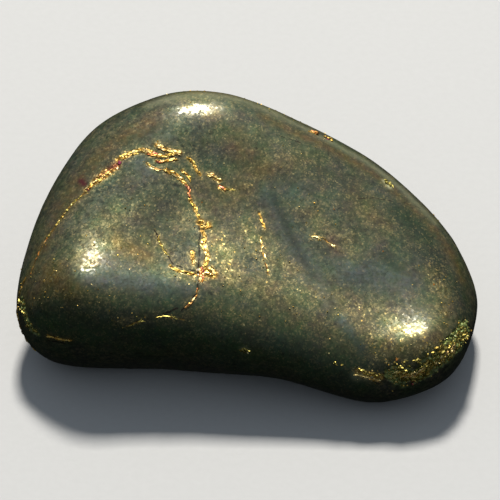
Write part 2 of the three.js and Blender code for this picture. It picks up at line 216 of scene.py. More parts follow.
# Films on the skin, and painted light: the green is painted shade, the dark film partly painted shade, the
# golden film partly painted sheen, the pale marks painted highlights.
STAINS_AND_PAINTED_LIGHT = {  # by kind of film: radius, strength, path in the frame
    "steel": [
        (1.5, 0.8, [(85, 281), (110, 280), (135, 281), (165, 284), (190, 287)]),
        (2.0, 0.8, [(345, 268), (375, 274), (405, 280)]),
        (1.3, 0.7, [(266, 196), (284, 222), (300, 252), (316, 278), (330, 300)]),
        (0.7, 1.0, [(342, 319), (348, 330), (362, 350)]),
        (1.0, 0.8, [(142, 163), (150, 172)]),
        (0.8, 0.7, [(140, 135), (170, 136)]),
        (1.4, 0.5, [(275, 185), (300, 195)]),
    ],
    # Dark film, and painted shade where the surface turns from the lamp: along the valley and along the left
    # and right rims.
    "dusk": [
        (0.5, 1.0, [(275, 200), (284, 222), (296, 247), (313, 276)]),
        (1.5, 1.0, [(404, 215), (420, 232), (432, 250), (442, 275)]),
        (1.6, 0.8, [(456, 286), (464, 308), (462, 326)]),
        (1.6, 0.5, [(300, 165), (330, 180), (360, 195)]),
        (1.4, 0.5, [(120, 185), (145, 190), (165, 205)]),
        (1.4, 0.7, [(136, 138), (118, 146), (100, 156), (84, 176)]),
        (0.4, 1.0, [(152, 130), (132, 140), (116, 152), (104, 168)]),
        (0.4, 0.9, [(122, 138), (104, 152), (90, 170), (78, 190), (62, 214)]),
        (0.8, 0.8, [(386, 372), (394, 366)]),
        (0.7, 0.8, [(384, 256), (398, 268)]),
        (0.9, 0.7, [(416, 250), (434, 262)]),
        (0.25, 0.8, [(357, 226), (352, 246)]),
        (0.8, 0.5, [(280, 176), (296, 172)]),
        (0.7, 0.6, [(248, 165), (252, 158)]),
    ],
    # Painted shade: a dim greenish cast on the low front flanks, where the stone turns away from the lamp.
    "green": [
        (2.6, 0.9, [(50, 325), (110, 335), (180, 340), (250, 345), (320, 360), (360, 376)]),
        (1.8, 0.7, [(50, 300), (90, 306), (150, 312), (220, 318), (280, 328), (320, 340)]),
    ],
    "brown": [
        (0.7, 0.55, [(262, 116), (290, 131), (315, 141), (340, 154), (367, 169), (385, 182), (398, 195)]),
        (0.7, 0.4, [(398, 195), (415, 211), (433, 229)]),
        (0.8, 0.6, [(433, 229), (444, 243), (453, 257), (462, 278)]),
        (1.4, 0.5, [(150, 122), (120, 138), (94, 162), (72, 190), (56, 218), (44, 244), (34, 268)]),
        (1.8, 0.4, [(236, 140), (250, 158), (262, 170)]),
        (1.8, 0.4, [(225, 200), (240, 190)]),
        (0.9, 0.6, [(86, 264), (97, 255)]),
        (1.3, 0.7, [(48, 268), (58, 284), (76, 290)]),
        (1.1, 0.8, [(116, 242), (131, 250), (145, 254)]),
        (1.2, 0.3, [(355, 190), (370, 205)]),
    ],
    # Golden film, and painted sheen: lighter colour on the highlights and in the glow below them.
    "gilt": [
        (1.5, 0.8, [(215, 240), (225, 255), (232, 275)]),
        (1.0, 0.9, [(172, 272), (190, 277), (205, 280)]),
        (1.6, 0.35, [(90, 235), (110, 222), (135, 210)]),
        (1.6, 0.35, [(70, 262), (100, 245), (130, 245)]),
        (1.4, 0.9, [(30, 296), (38, 292), (50, 284), (58, 270)]),
        (1.4, 0.2, [(128, 268), (150, 262)]),
        (1.8, 0.5, [(250, 285), (285, 290), (320, 298)]),
        (1.8, 0.5, [(330, 300), (355, 312), (385, 318)]),
        (1.5, 0.5, [(246, 230), (270, 262), (290, 268)]),
        (1.6, 0.7, [(436, 275), (444, 300), (446, 335)]),
        (1.4, 0.35, [(300, 205), (320, 225), (345, 240)]),
        (1.4, 0.4, [(180, 225), (195, 205)]),
        (0.8, 0.5, [(88, 266), (96, 256)]),
        (1.2, 0.8, [(396, 330), (420, 330)]),
        (2.0, 0.9, [(372, 344), (396, 352), (424, 352), (440, 342)]),
        (1.6, 0.4, [(300, 316), (330, 330), (360, 345)]),
        (1.5, 0.7, [(56, 294), (80, 298), (108, 294)]),
        (1.4, 0.4, [(205, 312), (240, 318), (270, 322)]),
        (1.0, 0.45, [(366, 214), (388, 228)]),
        (0.9, 0.4, [(340, 240), (352, 256)]),
        (0.9, 0.6, [(190, 108), (215, 112)]),
        (1.6, 0.3, [(245, 190), (275, 160), (300, 155)]),
        (0.8, 0.6, [(118, 322), (150, 318), (190, 316)]),
    ],
    "red": [
        (0.35, 1.0, [(81, 181), (84, 184)]),
        (0.25, 0.9, [(86, 188), (88, 190)]),
        (0.45, 0.9, [(110, 169), (116, 165)]),
        (0.5, 0.45, [(98, 178), (106, 172)]),
        (0.2, 0.9, [(189, 187), (189, 190)]),
        (0.35, 0.5, [(412, 383), (414, 381)]),
        (0.6, 0.3, [(330, 241), (338, 252)]),
    ],
    # Painted highlights: a pale rim light along the back outline, and glints on the chip, a bump and a ledge.
    "pale": [
        (0.35, 0.9, [(386, 182), (389, 186)]),
        (0.6, 0.2, [(280, 116), (300, 126), (340, 147), (366, 161), (394, 182), (415, 202), (434, 221)]),
        (0.9, 0.2, [(151, 104), (175, 97), (198, 94), (234, 98), (262, 107), (280, 116)]),
        (0.35, 0.4, [(243, 350), (247, 351)]),
        (0.5, 0.5, [(356, 376), (370, 377)]),
    ],
}
BEADS = [  # frame x, y, radius, tint: single grains that flash
    (119.7, 162, 0.26, COPPER), (120.5, 161, 0.14, CREAM), (327.5, 139, 0.2, COPPER), (330, 140, 0.14, CREAM),
    (316, 134, 0.16, ORANGE), (388, 183, 0.24, CREAM), (386, 186, 0.16, CREAM), (390, 186, 0.14, BRASS),
    (248, 352, 0.16, CREAM), (396.7, 359, 0.18, ORANGE), (329, 353, 0.1, CREAM), (336, 364, 0.12, BRASS),
    (158, 210, 0.1, CREAM), (202, 202, 0.1, ORANGE), (325.5, 253, 0.1, CREAM), (383, 251, 0.1, ORANGE),
    (334, 209, 0.1, ORANGE), (332, 292, 0.1, CREAM), (434, 284, 0.16, ORANGE), (31, 273, 0.12, ORANGE),
    (47, 238, 0.11, ORANGE), (36, 259, 0.1, ORANGE), (65, 213, 0.12, CREAM), (17, 268, 0.1, CREAM),
    (411, 299, 0.1, CREAM), (168, 253, 0.12, CREAM), (192, 302, 0.11, ORANGE), (221, 182, 0.1, CREAM),
    (224, 163, 0.12, CREAM), (275, 187, 0.09, CREAM), (413, 384, 0.12, ORANGE), (471, 330, 0.14, GOLD),
]
FAR_VEINS = [  # half width, depth, blades per mm, tint, path by bearing and elevation
    (0.22, 0.14, 6.0, GOLD, [(118, 33), (112, 24), (108, 12), (102, 2)]),
    (0.14, 0.1, 4.0, ORANGE, [(112, 24), (98, 20), (82, 18), (68, 12)]),
    (0.12, 0.1, 3.0, GOLD, [(-172, 12), (-169, 3), (-164, -6)]),
    (0.14, 0.1, 4.0, BRASS, [(150, 14), (138, 5), (130, -8)]),
]
FAR_CRACKS = [
    (0.12, 0.3, [(118, 34), (104, 31), (92, 30), (80, 26)]),
    (0.1, 0.25, [(42, 26), (48, 16), (60, 6)]),
]
FAR_GRANULAR = [
    (0.9, [(62, 1), (70, -3), (78, -4)]),
    (0.5, [(76, -6), (86, -5)]),
    (0.6, [(165, -4), (156, -8)]),
]
FAR_SHARP = [
    (0.8, 3.5, GOLD, [(62, 1), (70, -3), (78, -4)]),
    (0.6, 3.0, GOLD, [(165, -4), (156, -8)]),
]
FAR_PITS = [(136, 5, 0.8, 0.45), (88, 6, 0.9, 0.4), (35, 13, 0.7, 0.35), (104, 36, 0.5, 0.25)]
# Films and painted light on the hidden sides: the green is painted shade, the dark film partly painted shade,
# the golden film partly painted sheen.
FAR_STAINS_AND_PAINTED_LIGHT = {  # by kind of film: radius, strength, path by bearing and elevation
    "steel": [(3.0, 0.6, [(90, 30), (70, 26)]), (2.5, 0.6, [(150, 20), (140, 10)])],
    # Dark film, partly painted shade.
    "dusk": [(3.0, 0.6, [(60, 10), (90, 5), (120, 0)])],
    # Painted shade: the same greenish cast low on the hidden flanks.
    "green": [(3.5, 0.7, [(10, -8), (50, -8), (95, -10), (140, -10), (175, -10)])],
    "brown": [(1.5, 0.8, [(125, 30), (112, 20)])],
    # Golden film, partly painted sheen.
    "gilt": [
        (2.5, 0.6, [(100, 15), (80, 20)]),
        (1.6, 0.7, [(112, 42), (88, 38), (64, 32)]),
        (2.0, 0.5, [(20, 10), (40, 10)]),
        (2.0, 0.5, [(160, 10), (175, 0)]),
    ],
}
MASKS = ("vein", "crack", "granular", *STAINS_AND_PAINTED_LIGHT)


def linear(code):
    """An sRGB hex colour as linear red, green and blue."""
    values = [int(code[i : i + 2], 16) / 255 for i in (1, 3, 5)]
    return tuple(v / 12.92 if v <= 0.04045 else ((v + 0.055) / 1.055) ** 2.4 for v in values)


def colour(name, code, description):
    """A colour setting."""
    return FloatVectorProperty(
        name=name, description=description, default=linear(code), subtype="COLOR", size=3, min=0, max=1
    )


def length(name, millimetres, description):
    """A length setting."""
    return FloatProperty(name=name, description=description, default=millimetres * MM, unit="LENGTH")


class NuggetSettings(PropertyGroup):
    """Sizes of the stone's surface."""

    edge_plain: length("Plain edge", 0.42, "Longest mesh edge on plain skin")
    edge_fine: length("Fine edge", 0.136, "Longest mesh edge on a mark")
    ripple: length("Ripple", 0.03, "Height of the worn skin's gentle unevenness")
    granular_height: length("Granular relief", 0.3, "Height of the rough grains")
    blade_shortest: length("Shortest blade", 0.3, "Length of the shortest crystal blade")
    blade_longest: length("Longest blade", 1.0, "Length of the longest crystal blade")
    blade_half: length("Blade half width", 0.12, "Half the width of a blade's middle")
    bead_density: FloatProperty(
        name="Grains per mm²", description="How many loose grains stand on rough ground", default=9.0
    )
    bead_least: length("Smallest grain", 0.04, "Radius of the smallest grain")
    bead_most: length("Largest grain", 0.11, "Radius of the largest grain")
    seed: IntProperty(name="Seed", description="Seed of everything scattered", default=5)


class OreColours(PropertyGroup):
    """Colours of the ore, its tarnish, the painted shade and highlights on it, and the floor."""

    # Also painted sheen around the highlights.
    gilt: colour("Golden film", "#8C7F4C", "Film beside the seams and highlights")
    shade: colour("Dark tarnish", "#292D28", "Darkest grains of the tarnished skin")
    olive: colour("Olive tarnish", "#4B5342", "Common grains of the tarnished skin")
    tan: colour("Tan tarnish", "#7B7660", "Grains worn lighter")
    worn: colour("Worn film", "#A0936A", "Grains whose film is worn thin")
    steel: colour("Steel tarnish", "#4A555E", "Blue-grey film")
    # Also painted shade in the valley and along the rims.
    dusk: colour("Dusk", "#232E26", "Dark film")
    # Painted shade: the greenish cast of the low, shaded flanks.
    green: colour("Green tarnish", "#42563A", "Green film low on the flanks")
    brown: colour("Brown tarnish", "#6F5A34", "Brown film along the shoulder")
    gold: colour("Seam ground", "#AE8842", "Ground of the seams between the crystals")
    rough: colour("Rough ground", "#8C9A5C", "Ground of the rough ore between the crystals")
    copper: colour("Copper tarnish", "#521F26", "Red and purple spots")
    # Also the colour of painted highlights: rim light and glints.
    pale: colour("Pale grain", "#D9DBB4", "Pale grains")
    crack: colour("Crack", "#2A241C", "Dirt in the cracks")
    ore_brass: colour("Ore, brass", "#B9AE66", "Fresh ore, greenish")
    ore_gold: colour("Ore, gold", "#F0C465", "Fresh ore")
    ore_cream: colour("Ore, cream", "#FBEBAF", "Fresh ore, palest")
    ore_orange: colour("Ore, orange", "#EBA356", "Fresh ore with a first film")
    ore_copper: colour("Ore, copper", "#E8709A", "Fresh ore with a pink film")
    floor: colour("Floor", "#D3D4DC", "Plain pale floor")


class StudioSettings(PropertyGroup):
    """Lamp and soft light."""

    lamp_power: FloatProperty(name="Key lamp", description="Power of the key lamp", default=27, unit="POWER")
    lamp_size: length("Key size", 240, "Side of the key lamp")
    lamp_distance: length("Key distance", 1500, "From the stone to the key lamp")
    lamp_elevation: FloatProperty(
        name="Key elevation", description="Angle above the floor", default=math.radians(58), subtype="ANGLE"
    )
    lamp_tone: colour("Key tone", "#FFFAE9", "Colour of the key lamp, a little warm")
    sky: FloatProperty(name="Sky", description="Strength of the soft light from above", default=0.28)
    sky_tone: colour("Sky tone", "#E0ECF0", "Colour of the soft light, a little cool")


# -------------------- skin


def ball(level):
    """Directions and triangles of a ball."""
    made = bmesh.new()
    bmesh.ops.create_icosphere(made, subdivisions=level, radius=1)
    dirs = np.array([v.co for v in made.verts])
    tris = np.array([[v.index for v in f.verts] for f in made.faces])
    made.free()
    return dirs / np.linalg.norm(dirs, axis=1, keepdims=True), tris


HULL, _ = ball(HULL_LEVEL)
HULL_REACH = (((LOBES[:, None, :3] - CORE) * HULL).sum(2) + LOBES[:, 3:]).max(0)


def skin(dirs):
    """Points of the worn skin in the given directions, in mm from the core's own frame."""
    points = []
    for start in range(0, len(dirs), CHUNK):
        part = dirs[start : start + CHUNK]
        near = np.clip(part @ HULL.T, 0, None) / HULL_REACH
        most = near.max(1, keepdims=True)
        blend = (((near / most) ** SKIN_POWER).sum(1) / SKIN_SHARE) ** (1 / SKIN_POWER)
        points.append(CORE + part / (most[:, 0] * blend)[:, None])
    points = np.concatenate(points)
    away = ((points[:, None] - SWELLS[:, :3]) ** 2).sum(2)
    return points + np.exp(-away / SWELLS[:, 3] ** 2) @ SWELLS[:, 4:]


def normals_of(points, tris):
    """Unit normals at the points of a closed mesh."""
    faces = np.cross(points[tris[:, 1]] - points[tris[:, 0]], points[tris[:, 2]] - points[tris[:, 0]])
    total = np.zeros_like(points)
    for corner in range(3):
        np.add.at(total, tris[:, corner], faces)
    return total / np.linalg.norm(total, axis=1, keepdims=True)


def view_axes():
    """The camera's right, up and forward directions, and its place in mm."""
    right = np.array([1.0, 0.0, 0.0])
    up = np.array([0.0, math.sin(ELEVATION), math.cos(ELEVATION)])
    forward = np.array([0.0, math.cos(ELEVATION), -math.sin(ELEVATION)])
    return right, up, forward, AIM - CAMERA_DISTANCE * forward


class Skin:
    """The plain skin as a mesh that marks are placed on."""

    def __init__(self):
        self.dirs, self.tris = ball(SKIN_LEVEL)
        points = skin(self.dirs)
        low, high = points.min(0), points.max(0)
        self.shift = np.array([-(low[0] + high[0]) / 2, -(low[1] + high[1]) / 2, 0])
        self.points = points + self.shift
        self.normals = normals_of(self.points, self.tris)

    def at(self, dirs):
        """Points of the skin in the row's frame, in mm."""
        return skin(dirs) + self.shift

    def far(self, bearing, elevation):
        """The place on the skin at a bearing and an elevation from the core."""
        b, e = math.radians(bearing), math.radians(elevation)
        return self.at(np.array([[math.cos(e) * math.cos(b), math.cos(e) * math.sin(b), math.sin(e)]]))[0]

    def seen(self, x, y):
        """The place on the skin that lies at a pixel of the camera's frame."""
        right, up, forward, eye = view_axes()
        focal = PICTURE / 2 / math.tan(FIELD_OF_VIEW / 2)
        away = self.points - eye
        depth = away @ forward
        across = (x - PICTURE / 2) / focal * depth - away @ right
        above = (PICTURE / 2 - y) / focal * depth - away @ up
        miss = across**2 + above**2
        miss[self.normals @ forward > IN_VIEW] = np.inf
        i = int(miss.argmin())
        step = across[i] * right + above[i] * up
        slope = self.normals[i] @ forward
        if slope < STEEP:
            step = step - forward * (self.normals[i] @ step) / slope
        return self.points[i] + step


def distance_to(points, path):
    """Distance of each point from a path of straight pieces."""
    least = np.full(len(points), np.inf)
    for a, b in zip(path[:-1], path[1:]):
        along = np.clip((points - a) @ (b - a) / ((b - a) @ (b - a)), 0, 1)
        least = np.minimum(least, np.linalg.norm(points - a - along[:, None] * (b - a), axis=1))
    return least


def fade(value, start, end, unit=1.0):
    """1 up to start, smoothly down to 0 at end, with both counted in the given unit."""
    t = np.clip((value - start * unit) / (end * unit - start * unit), 0, 1)
    return 1 - t * t * (3 - 2 * t)


def noise_at(points, size, offset=0.0):
    """Smooth noise from -1 to 1 with the given feature size in mm."""
    return np.array([noise.noise(Vector(p) / size + Vector((offset, 0, 0))) for p in points])


def drift_at(points, size):
    """Smooth noise from -1 to 1 in each direction."""
    return np.array([noise.noise_vector(Vector(p) / size) for p in points])


FACET_SIZE = 0.5  # mm
FACET_STEEPNESS = 1.6
FACET_LEVEL = 0.55  # the height that lies level with the skin


def facets_at(points):
    """Height of broken crystal faces: 0 in the gaps between grains, up to 1 on their tops."""
    heights = np.empty(len(points))
    for i, p in enumerate(points):
        gaps, _ = noise.voronoi(Vector(p) / FACET_SIZE)
        heights[i] = min(1.0, (gaps[1] - gaps[0]) * FACET_STEEPNESS)
    return heights


# How far marks stray from their paths, and over what length, in mm.
STRAYS = ((0.1, 0.8), (0.04, 0.25))
PATCH_SIZE, BAY_SIZE, GRAZE_SIZE = 0.5, 1.3, 0.4  # mm of what breaks up cracks, rough edges and grazes
# Where each mark is full and where it ends, in its own half widths or radii.
VEIN_GROUND, VEIN_RELIEF = (0.4, 1.5), (0.2, 1.6)
CRACK_DIRT, CRACK_RELIEF = (0.5, 1.3), (0.1, 1.6)
ROUGH_GROUND, PIT_RELIEF = (0.6, 1.2), (0.2, 1.2)
VEIN_DEPTH = 0.5  # share of a seam's depth that the skin is cut by
FILM, FILM_REACH = 0.6, 0.7  # strength of the golden film beside a seam, and its reach in mm
CRACK_SPREAD, CRACK_WIDTHS = 1.1, (0.35, 1.8)  # how much a crack's width varies, and between which shares
DIRT_LEVEL = 1.1  # a crack's dirt is full where this and the noise come to 1
ROUGH_BAYS = 0.6  # how deep bays cut into rough ground, in its half widths
VEIN_ROUGHNESS = 0.25  # how rough a seam's ground is beside rough ore
# How far the fine mesh goes over seams and cracks, rough ground and spots, in half widths or radii.
LINE_REACH, GROUND_REACH, SPOT_REACH = 1.5, 1.2, 1.1
FINE_GRAZED = 4  # grazed spots, from the first, that are high enough for the fine mesh


class Marks:
    """Everything that marks the skin, placed once and measured for any points."""

    def __init__(self, base):
        def placed(near, far):
            near = [(*mark[:-1], [base.seen(*spot) for spot in mark[-1]]) for mark in near]
            return near + [(*mark[:-1], [base.far(*spot) for spot in mark[-1]]) for mark in far]

        self.veins = placed(VEINS, FAR_VEINS)
        self.cracks = placed(CRACKS, FAR_CRACKS)
        self.granular = placed(GRANULAR, FAR_GRANULAR)
        self.sharp = placed(SHARP, FAR_SHARP)
        self.films_and_painted_light = {kind: placed(STAINS_AND_PAINTED_LIGHT[kind], FAR_STAINS_AND_PAINTED_LIGHT.get(kind, ())) for kind in STAINS_AND_PAINTED_LIGHT}
        self.pits = [(base.seen(x, y), r, d) for x, y, r, d in PITS]
        self.pits += [(base.far(b, e), r, d) for b, e, r, d in FAR_PITS]
        self.grazed = [(base.seen(x, y), r, h) for x, y, r, h in GRAZED]
        self.beads = [(base.seen(x, y), r, tint) for x, y, r, tint in BEADS]

    def nearest(self, points):
        """Distance from the edge of the nearest mark."""
        least = np.full(len(points), np.inf)
        for half, *_, path in self.veins + self.cracks:
            least = np.minimum(least, distance_to(points, path) - LINE_REACH * half)
        for half, path in self.granular:
            least = np.minimum(least, distance_to(points, path) - GROUND_REACH * half)
        for centre, radius, _ in self.pits + self.grazed[:FINE_GRAZED]:
            least = np.minimum(least, np.linalg.norm(points - centre, axis=1) - SPOT_REACH * radius)
        return least

    def measure(self, points, granular_height):
        """Relief in mm and the masks that the materials and crystals read."""
        strayed = points
        for reach, size in STRAYS:
            strayed = strayed + reach * drift_at(points, size)
        patchy = noise_at(points, PATCH_SIZE, 9.0)
        masks = {name: np.zeros(len(points)) for name in MASKS}
        cut = np.zeros(len(points))

        def mark(name, values):
            masks[name] = np.maximum(masks[name], values)

        def carve(height, depth):
            return np.where(depth > 0, np.minimum(cut, height), np.maximum(cut, height))

        for half, depth, *_, path in self.veins:
            away = distance_to(strayed, path)
            mark("vein", fade(away, *VEIN_GROUND, half))
            mark("gilt", FILM * fade(away, half, half + FILM_REACH))
            cut = carve(-VEIN_DEPTH * depth * fade(away, *VEIN_RELIEF, half), depth)
        for half, depth, path in self.cracks:
            away = distance_to(strayed, path) / (half * np.clip(1 + CRACK_SPREAD * patchy, *CRACK_WIDTHS))
            mark("crack", fade(away, *CRACK_DIRT) * np.clip(DIRT_LEVEL + patchy, 0, 1))
            cut = carve(-depth * fade(away, *CRACK_RELIEF), depth)
        for half, path in self.granular:
            bays = ROUGH_BAYS * half * (patchy + noise_at(points, BAY_SIZE, 4.0))
            mark("granular", fade(distance_to(strayed, path) + bays, *ROUGH_GROUND, half))
        for centre, radius, depth in self.pits:
            away = np.linalg.norm(strayed - centre, axis=1)
            cut = carve(-depth * fade(away, *PIT_RELIEF, radius), depth)
        for kind, films_and_painted_light in self.films_and_painted_light.items():
            for radius, strength, path in films_and_painted_light:
                mark(kind, strength * np.exp(-((distance_to(strayed, path) / radius) ** 2)))
        rough = np.maximum(masks["granular"], VEIN_ROUGHNESS * masks["vein"])
        spots = np.flatnonzero(rough > 0.02)
        relief = np.zeros(len(points))
        relief[spots] = rough[spots] * granular_height * (facets_at(points[spots]) - FACET_LEVEL)
        for centre, radius, height in self.grazed:
            away = np.linalg.norm(points - centre, axis=1)
            spots = np.flatnonzero(away < 2 * radius)
            pitted = noise_at(points[spots], GRAZE_SIZE, 2.0)
            relief[spots] += height * np.exp(-((away[spots] / radius) ** 2)) * pitted
        return cut + relief, masks


def refine(base, dirs, tris, points, limit):
    """Splits every edge longer than the limit at its points, and keeps the surface closed."""
    pairs = np.sort(tris[:, [0, 1, 1, 2, 2, 0]].reshape(-1, 2), axis=1)
    edges, back = np.unique(pairs, axis=0, return_inverse=True)
    back = back.reshape(-1, 3)
    spans = np.linalg.norm(points[edges[:, 0]] - points[edges[:, 1]], axis=1)
    long = spans > limit[edges].min(1)
    middle = np.full(len(edges), -1)
    middle[long] = len(dirs) + np.arange(long.sum())
    fresh = dirs[edges[long]].sum(1)
    fresh /= np.linalg.norm(fresh, axis=1, keepdims=True)
    mids = middle[back]
    count = (mids >= 0).sum(1)
    made = [tris[count == 0]]
    t, m = tris[count == 3], mids[count == 3]
    corners = ((t[:, 0], m[:, 0], m[:, 2]), (m[:, 0], t[:, 1], m[:, 1]))
    corners += ((m[:, 2], m[:, 1], t[:, 2]), (m[:, 0], m[:, 1], m[:, 2]))
    made += [np.stack(corner, 1) for corner in corners]
    for turn in range(3):
        t, m = np.roll(tris, -turn, 1), np.roll(mids, -turn, 1)
        one = (count == 1) & (m[:, 0] >= 0)
        p, q, r, a = t[one, 0], t[one, 1], t[one, 2], m[one, 0]
        made += [np.stack((p, a, r), 1), np.stack((a, q, r), 1)]
        two = (count == 2) & (m[:, 0] < 0)
        p, q, r, a, b = t[two, 0], t[two, 1], t[two, 2], m[two, 1], m[two, 2]
        made += [np.stack((a, r, b), 1), np.stack((p, q, a), 1), np.stack((p, a, b), 1)]
    return np.concatenate([dirs, fresh]), np.concatenate(made), np.concatenate([points, base.at(fresh)])


REFINE_PASSES = 3
FINE_MARGIN = 0.1  # mm of fine mesh beyond the edge of a mark
RIPPLES = ((1.0, 3.2, 0.0), (0.5, 1.3, 4.0))  # share, size in mm and place in the noise of each wave
FLAT_FROM = 0.4  # rough ground from this strength has flat faces


def stone_mesh(settings, marks, base):
    """The stone's mesh with its relief, and masks as attributes of its points."""
    dirs, tris, points = base.dirs, base.tris, base.points
    plain, fine = settings.edge_plain / MM, settings.edge_fine / MM
    for _ in range(REFINE_PASSES):
        limit = np.where(marks.nearest(points) < FINE_MARGIN, fine, plain)
        dirs, tris, points = refine(base, dirs, tris, points, limit)
    relief, masks = marks.measure(points, settings.granular_height / MM)
    relief += settings.ripple / MM * sum(share * noise_at(points, *wave) for share, *wave in RIPPLES)
    points = points + normals_of(points, tris) * relief[:, None]
    points[:, 2] = np.maximum(points[:, 2], 0)
    mesh = bpy.data.meshes.new("nugget_stone")
    mesh.from_pydata((points * MM).tolist(), [], tris.tolist())
    for name, values in masks.items():
        mesh.attributes.new(name, "FLOAT", "POINT").data.foreach_set("value", values.astype(np.float32))
    mesh.polygons.foreach_set("use_smooth", masks["granular"][tris].min(1) < FLAT_FROM)
    mesh.validate()
    return mesh


def ground_of(mesh):
    """The mesh's faces in mm, for finding the nearest place on them."""
    return BVHTree.FromPolygons([v.co / MM for v in mesh.vertices], [f.vertices for f in mesh.polygons])


BLADE_STATIONS = np.linspace(-1, 1, 5)
# How far blades turn from their path, and the share of the set length that lies to each side of their middle.
SEAM_BLADES, STRAY_BLADES = (math.radians(9), 0.5), (math.radians(35), 0.3)
ACROSS = 0.9  # share of the seam's width that blades are spread over
BLADE_WIDTHS = (0.6, 1.3)  # narrowest and widest blade, as shares of the setting
FULL_WIDTH = 0.3  # blades get narrower on seams with a smaller half width than this
BEND, TINT_SPREAD, TWIST_SPREAD = 0.15, 0.08, 0.35  # how much single blades differ
BLADE_TIP, BLADE_TAPER, BLADE_WAVES = 0.12, 0.7, (0.75, 1.15)  # a blade's outline
LEAST_LEDGE, LEDGE_GROWTH = 0.1, 100  # in half widths of a blade, and how fast it grows with a seam's height


def ledge(depth):
    """How far a seam's blades stand out, in their own half widths."""
    return max(LEAST_LEDGE, LEDGE_GROWTH * depth * depth) if depth < 0 else LEAST_LEDGE


def blade_lines(settings, marks, mesh):
    """Lines that crystal blades grow along: each lies on the skin, with its half width and tint."""
    rng = np.random.default_rng(settings.seed)
    ground = ground_of(mesh)
    shortest, longest = settings.blade_shortest / MM, settings.blade_longest / MM
    points, edges, values = [], [], {"half": [], "tint": [], "twist": []}
    runs = [(half, *given, SEAM_BLADES, ledge(depth), path) for half, depth, *given, path in marks.veins]
    runs += [(half, *given, STRAY_BLADES, 1.0, path) for half, *given, path in marks.sharp]
    for half, density, tint, (turn, share), proud, path in runs:
        steps = [b - a for a, b in zip(path[:-1], path[1:])]
        lengths = np.array([np.linalg.norm(step) for step in steps])
        for _ in range(max(1, round(density * lengths.sum()))):
            piece = rng.choice(len(steps), p=lengths / lengths.sum())
            centre = Vector(path[piece] + rng.random() * steps[piece])
            _, normal, *_ = ground.find_nearest(centre)
            heading = Vector(steps[piece]).normalized()
            heading.rotate(Quaternion(normal, turn * rng.normal()))
            side = normal.cross(heading).normalized()
            centre += side * half * rng.uniform(-ACROSS, ACROSS)
            reach = share * (shortest + (longest - shortest) * rng.random() ** 2)
            broad = settings.blade_half / MM * rng.uniform(*BLADE_WIDTHS) * min(1, 0.5 + half / FULL_WIDTH)
            bend = BEND * reach * rng.normal()
            own_tint = float(np.clip(tint + TINT_SPREAD * rng.normal(), 0, 1))
            own_twist = math.pi / 4 + TWIST_SPREAD * rng.normal()
            first = len(points)
            for t in BLADE_STATIONS:
                spot, up, *_ = ground.find_nearest(centre + heading * t * reach + side * bend * t * t)
                points.append((spot + proud * broad * up) * MM)
                wide = (1 - t * t) ** BLADE_TAPER * rng.uniform(*BLADE_WAVES)
                values["half"].append(MM * broad * max(BLADE_TIP, wide))
                values["tint"].append(own_tint)
                values["twist"].append(own_twist)
            edges += [(first + i, first + i + 1) for i in range(len(BLADE_STATIONS) - 1)]
    return lines_mesh("blade_lines", points, edges, values)


def bead_points(marks, mesh):
    """Points that single bright grains stand on."""
    ground = ground_of(mesh)
    spots = [ground.find_nearest(Vector(place))[0] * MM for place, _, _ in marks.beads]
    halves = [MM * radius for _, radius, _ in marks.beads]
    return lines_mesh("bead_points", spots, [], {"half": halves, "tint": [tint for *_, tint in marks.beads]})


def lines_mesh(name, points, edges, values):
    """A mesh of bare points and edges with named values at each point."""
    mesh = bpy.data.meshes.new(name)
    mesh.from_pydata(points, edges, [])
    for kind, numbers in values.items():
        mesh.attributes.new(kind, "FLOAT", "POINT").data.foreach_set("value", np.float32(numbers))
    return mesh


# -------------------- nodes


def add(tree, kind, inputs=None, **settings):
    """Adds a node, of the shader kinds if no other is named: its settings by name, and its inputs by
    name or number, as values, sockets or nodes."""
    node = tree.nodes.new(kind if "Node" in kind else "ShaderNode" + kind)
    for name, value in settings.items():
        setattr(node, name, value)
    for key, value in (inputs or {}).items():
        if isinstance(value, bpy.types.Node):
            value = value.outputs[0]
        if isinstance(value, bpy.types.NodeSocket):
            tree.links.new(value, node.inputs[key])
        else:
            node.inputs[key].default_value = value
    return node


def emptied(owner):
    """The node tree of a new material or world, with nothing in it."""
    owner.use_nodes = True
    owner.node_tree.nodes.clear()
    return owner.node_tree


def per_metre(millimetres):
    """Texture scale for features of a size."""
    return 1 / (millimetres * MM)


def opaque(value):
    """A colour with full alpha."""
    return (*value, 1.0)


def set_stops(ramp, *stops):
    """Gives a colour ramp its places and colours, from low to high."""
    own = ramp.color_ramp.elements
    for place, value in stops[1:-1]:
        own.new(place).color = opaque(value)
    for end in (0, -1):
        own[end].position, own[end].color = stops[end][0], opaque(stops[end][1])


def sum_of(tree, *terms):
    """Adds up values: each term is a socket with its factor."""
    total = 0.0
    for socket, factor in terms:
        inputs = {0: socket, 1: factor, 2: total}
        total = add(tree, "Math", inputs, operation="MULTIPLY_ADD")
    return total


GRAIN, FLECK = 0.28, 0.16  # mm across a crystal grain of the skin and across a speck in its film
CLUMPS, CLOUDS, CAST = (0.6, 3.0, 0.5), (3, 5.0, 0.62), (2.6, 5.0, 0.65)  # size in mm, detail, roughness
BLEND_LEVEL = 0.295  # taken from the mottling, to centre it on the olive film
CAST_SHARE = 0.45  # how much the broad drift of colour shows
FILM_AND_LIGHT_SHARES = {"gilt": 0.4, "steel": 0.55, "dusk": 0.7, "green": 0.85, "brown": 0.9}


